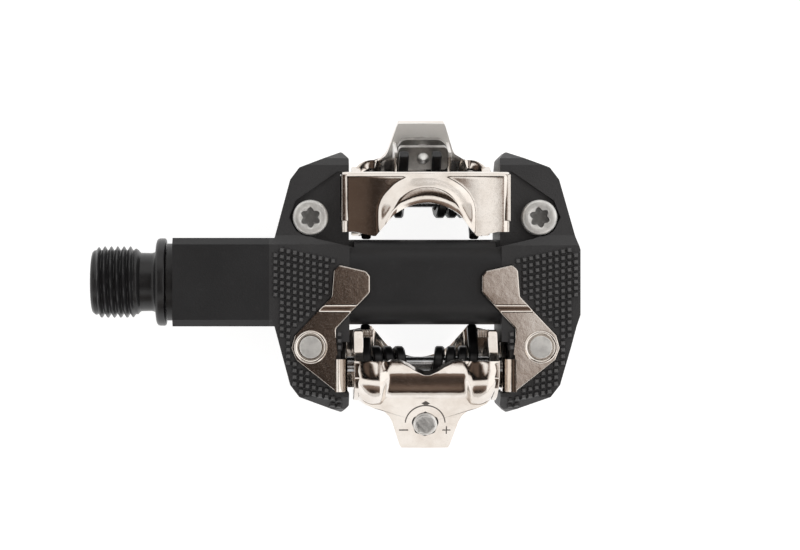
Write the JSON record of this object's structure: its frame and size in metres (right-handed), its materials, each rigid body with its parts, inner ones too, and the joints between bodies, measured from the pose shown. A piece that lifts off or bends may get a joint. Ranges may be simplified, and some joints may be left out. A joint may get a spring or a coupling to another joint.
{
  "type": "clipless bicycle pedal",
  "caption": "Double-sided clipless bicycle pedal: threaded spindle, spinning body, front hooks and sprung, adjustable rear claws for a shoe cleat.",
  "frame": {"origin": "centre of the spindle flange's crank seating face, on the spindle axis", "axes": "+X along the spindle away from the crank, +Z out of the upper face, +Y towards the upper face's front hook"},
  "size_m": [0.0963, 0.0654, 0.0272],
  "materials": {
    "black_steel": "satin black plated steel",
    "black_alloy": "black anodised alloy",
    "black_composite": "fine-grained glass-filled composite",
    "polished_nickel": "polished nickel plate with faint ripple",
    "zinc_screw": "dull silver zinc",
    "spring_black": "oiled black spring steel",
    "ground_steel": "ground bearing steel",
    "nickel_small": "plated steel",
    "seal_rubber": "matt rubber"
  },
  "bodies": {
    "spindle": {"spindle": "black_steel", "bearing_cone": "ground_steel", "cone_lock_nut": "nickel_small"},
    "balls": {"inboard_balls": "ground_steel", "outboard_balls": "ground_steel"},
    "pedal": {"pedal_body": "black_composite", "lock_bolt": "black_alloy", "lip_seal": "seal_rubber", "bearing_sleeve": "ground_steel", "upper_hook_plate": "polished_nickel", "lower_hook_plate": "polished_nickel", "upper_pivot_shaft": "ground_steel", "lower_pivot_shaft": "ground_steel", "upper_plate_screws": "zinc_screw", "lower_plate_screws": "zinc_screw", "upper_inboard_spring": "spring_black", "upper_outboard_spring": "spring_black", "lower_inboard_spring": "spring_black", "lower_outboard_spring": "spring_black"},
    "upper_claw": {"upper_claw": "polished_nickel", "upper_adjuster_nut": "nickel_small"},
    "upper_tension": {"upper_tension_plate": "nickel_small"},
    "upper_adjuster": {"upper_adjusting_screw": "zinc_screw"},
    "lower_claw": {"lower_claw": "polished_nickel", "lower_adjuster_nut": "nickel_small"},
    "lower_tension": {"lower_tension_plate": "nickel_small"},
    "lower_adjuster": {"lower_adjusting_screw": "zinc_screw"}
  },
  "joints": [
    {"name": "pedal_spin", "type": "hinge", "parent": "spindle", "child": "pedal", "pos_m": [0, 0, 0], "axis": [1, 0, 0], "continuous": true},
    {"name": "ball_orbit", "type": "hinge", "parent": "spindle", "child": "balls", "pos_m": [0, 0, 0], "axis": [1, 0, 0], "continuous": true},
    {"name": "upper_claw_release", "type": "hinge", "parent": "pedal", "child": "upper_claw", "pos_m": [0.0531, -0.0164, 0], "axis": [1, 0, 0], "range_deg": [0, 18], "stiffness_Nm_per_rad": 8, "springref_deg": -25.78, "deforming": ["upper_inboard_spring", "upper_outboard_spring"]},
    {"name": "upper_tension_slide", "type": "slide", "parent": "upper_claw", "child": "upper_tension", "axis": [0, 0.342, -0.9397], "range_m": [0, 0.0016]},
    {"name": "upper_adjuster_turn", "type": "hinge", "parent": "upper_tension", "child": "upper_adjuster", "pos_m": [0.0531, -0.0278, 0.0074], "axis": [0, 0.342, -0.9397], "range_deg": [0, 720]},
    {"name": "lower_claw_release", "type": "hinge", "parent": "pedal", "child": "lower_claw", "pos_m": [0.0531, 0.0164, 0], "axis": [1, 0, 0], "range_deg": [0, 18], "stiffness_Nm_per_rad": 8, "springref_deg": -25.78, "deforming": ["lower_inboard_spring", "lower_outboard_spring"]},
    {"name": "lower_tension_slide", "type": "slide", "parent": "lower_claw", "child": "lower_tension", "axis": [0, -0.342, 0.9397], "range_m": [0, 0.0016]},
    {"name": "lower_adjuster_turn", "type": "hinge", "parent": "lower_tension", "child": "lower_adjuster", "pos_m": [0.0531, 0.0278, -0.0074], "axis": [0, -0.342, 0.9397], "range_deg": [0, 720]}
  ],
  "couplings": [
    {"joint": "ball_orbit", "follows": "pedal_spin", "ratio": 0.62148},
    {"joint": "upper_adjuster_turn", "follows": "upper_tension_slide", "rad_per_m": 7854},
    {"joint": "lower_adjuster_turn", "follows": "lower_tension_slide", "rad_per_m": 7854}
  ]
}
